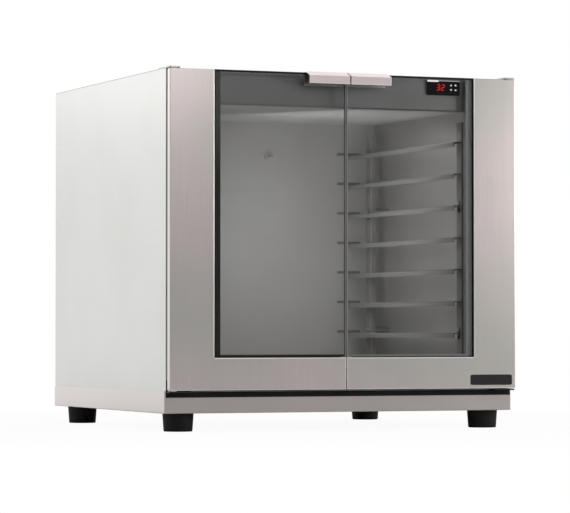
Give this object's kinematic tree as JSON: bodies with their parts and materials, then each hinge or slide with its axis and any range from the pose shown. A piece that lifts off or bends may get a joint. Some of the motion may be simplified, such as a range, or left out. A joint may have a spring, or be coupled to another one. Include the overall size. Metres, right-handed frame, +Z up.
{
  "type": "dough proofer",
  "caption": "Stainless dough-proofing cabinet with tinted glass doors on corner pins, inner tray racks, a heated humidity well, a small digital controller and rubber feet.",
  "frame": {"origin": "on the floor under the middle of the overall box", "axes": "+Z up, +X to the right of a person who faces the doors, -Y towards that person; the doors are closed at rest"},
  "size_m": [0.763, 0.751, 0.7232],
  "materials": {
    "outer_steel": "brushed stainless sheet",
    "liner_steel": "dull stainless sheet",
    "hardware_steel": "satin stainless",
    "heater_steel": "heat-darkened tube",
    "tinted_glass": "grey-tinted toughened glass",
    "black_rubber": "matte",
    "bezel_plastic": "glossy black",
    "window_plastic": "dark red filter",
    "button_plastic": "satin light grey",
    "housing_plastic": "matte black",
    "nylon": "natural nylon",
    "magnet": "dark magnet in a steel pole shoe",
    "gland_plastic": "matte black",
    "glass_wool": "glass wool"
  },
  "bodies": {
    "cabinet": {"base_tray": "outer_steel", "side_panel_left": "outer_steel", "side_panel_right": "outer_steel", "top_panel": "outer_steel", "back_panel": "outer_steel", "back_screws": "hardware_steel", "cable_gland": "gland_plastic", "front_fascia": "outer_steel", "front_jamb_left": "outer_steel", "front_jamb_right": "outer_steel", "front_sill": "outer_steel", "cavity_seal": "black_rubber", "cavity_side_left": "liner_steel", "cavity_side_right": "liner_steel", "cavity_ceiling": "liner_steel", "cavity_floor": "liner_steel", "cavity_back": "liner_steel", "insulation": "glass_wool", "rack_left_uprights": "liner_steel", "rack_right_uprights": "liner_steel", "rack_left_runners": "liner_steel", "rack_right_runners": "liner_steel", "rack_pegs": "hardware_steel", "humidity_well": "liner_steel", "heating_element": "heater_steel", "water_pan": "liner_steel", "temperature_probe": "hardware_steel", "controller_bezel": "bezel_plastic", "display_window": "window_plastic", "controller_housing": "housing_plastic", "hinge_top_left": "hardware_steel", "hinge_top_right": "hardware_steel", "hinge_bottom_left": "hardware_steel", "hinge_bottom_right": "hardware_steel", "hinge_screws": "hardware_steel", "magnet_catch_left": "magnet", "magnet_catch_right": "magnet", "foot_screws": "hardware_steel", "foot_front_left": "black_rubber", "foot_front_right": "black_rubber", "foot_rear_left": "black_rubber", "foot_rear_right": "black_rubber"},
    "door_left": {"door_left_frame": "outer_steel", "door_left_inner_panel": "outer_steel", "door_left_glass": "tinted_glass", "door_left_glazing_seal": "black_rubber", "door_left_handle": "outer_steel", "door_left_handle_bolts": "hardware_steel", "door_left_bushes": "nylon"},
    "door_right": {"door_right_frame": "outer_steel", "door_right_inner_panel": "outer_steel", "door_right_glass": "tinted_glass", "door_right_glazing_seal": "black_rubber", "door_right_handle": "outer_steel", "door_right_handle_bolts": "hardware_steel", "door_right_bushes": "nylon"},
    "button_upper_left_key": {"button_upper_left": "button_plastic"},
    "button_upper_right_key": {"button_upper_right": "button_plastic"},
    "button_lower_left_key": {"button_lower_left": "button_plastic"},
    "button_lower_right_key": {"button_lower_right": "button_plastic"}
  },
  "joints": [
    {"name": "door_left_hinge", "type": "hinge", "parent": "cabinet", "child": "door_left", "pos_m": [-0.37, -0.3445, 0.4], "axis": [0, 0, -1], "range_deg": [0, 110]},
    {"name": "door_right_hinge", "type": "hinge", "parent": "cabinet", "child": "door_right", "pos_m": [0.37, -0.3445, 0.4], "axis": [0, 0, 1], "range_deg": [0, 110]},
    {"name": "button_upper_left_press", "type": "slide", "parent": "cabinet", "child": "button_upper_left_key", "axis": [0, 1, 0], "range_m": [0, 0.0006], "stiffness_N_per_m": 1500},
    {"name": "button_upper_right_press", "type": "slide", "parent": "cabinet", "child": "button_upper_right_key", "axis": [0, 1, 0], "range_m": [0, 0.0006], "stiffness_N_per_m": 1500},
    {"name": "button_lower_left_press", "type": "slide", "parent": "cabinet", "child": "button_lower_left_key", "axis": [0, 1, 0], "range_m": [0, 0.0006], "stiffness_N_per_m": 1500},
    {"name": "button_lower_right_press", "type": "slide", "parent": "cabinet", "child": "button_lower_right_key", "axis": [0, 1, 0], "range_m": [0, 0.0006], "stiffness_N_per_m": 1500}
  ]
}
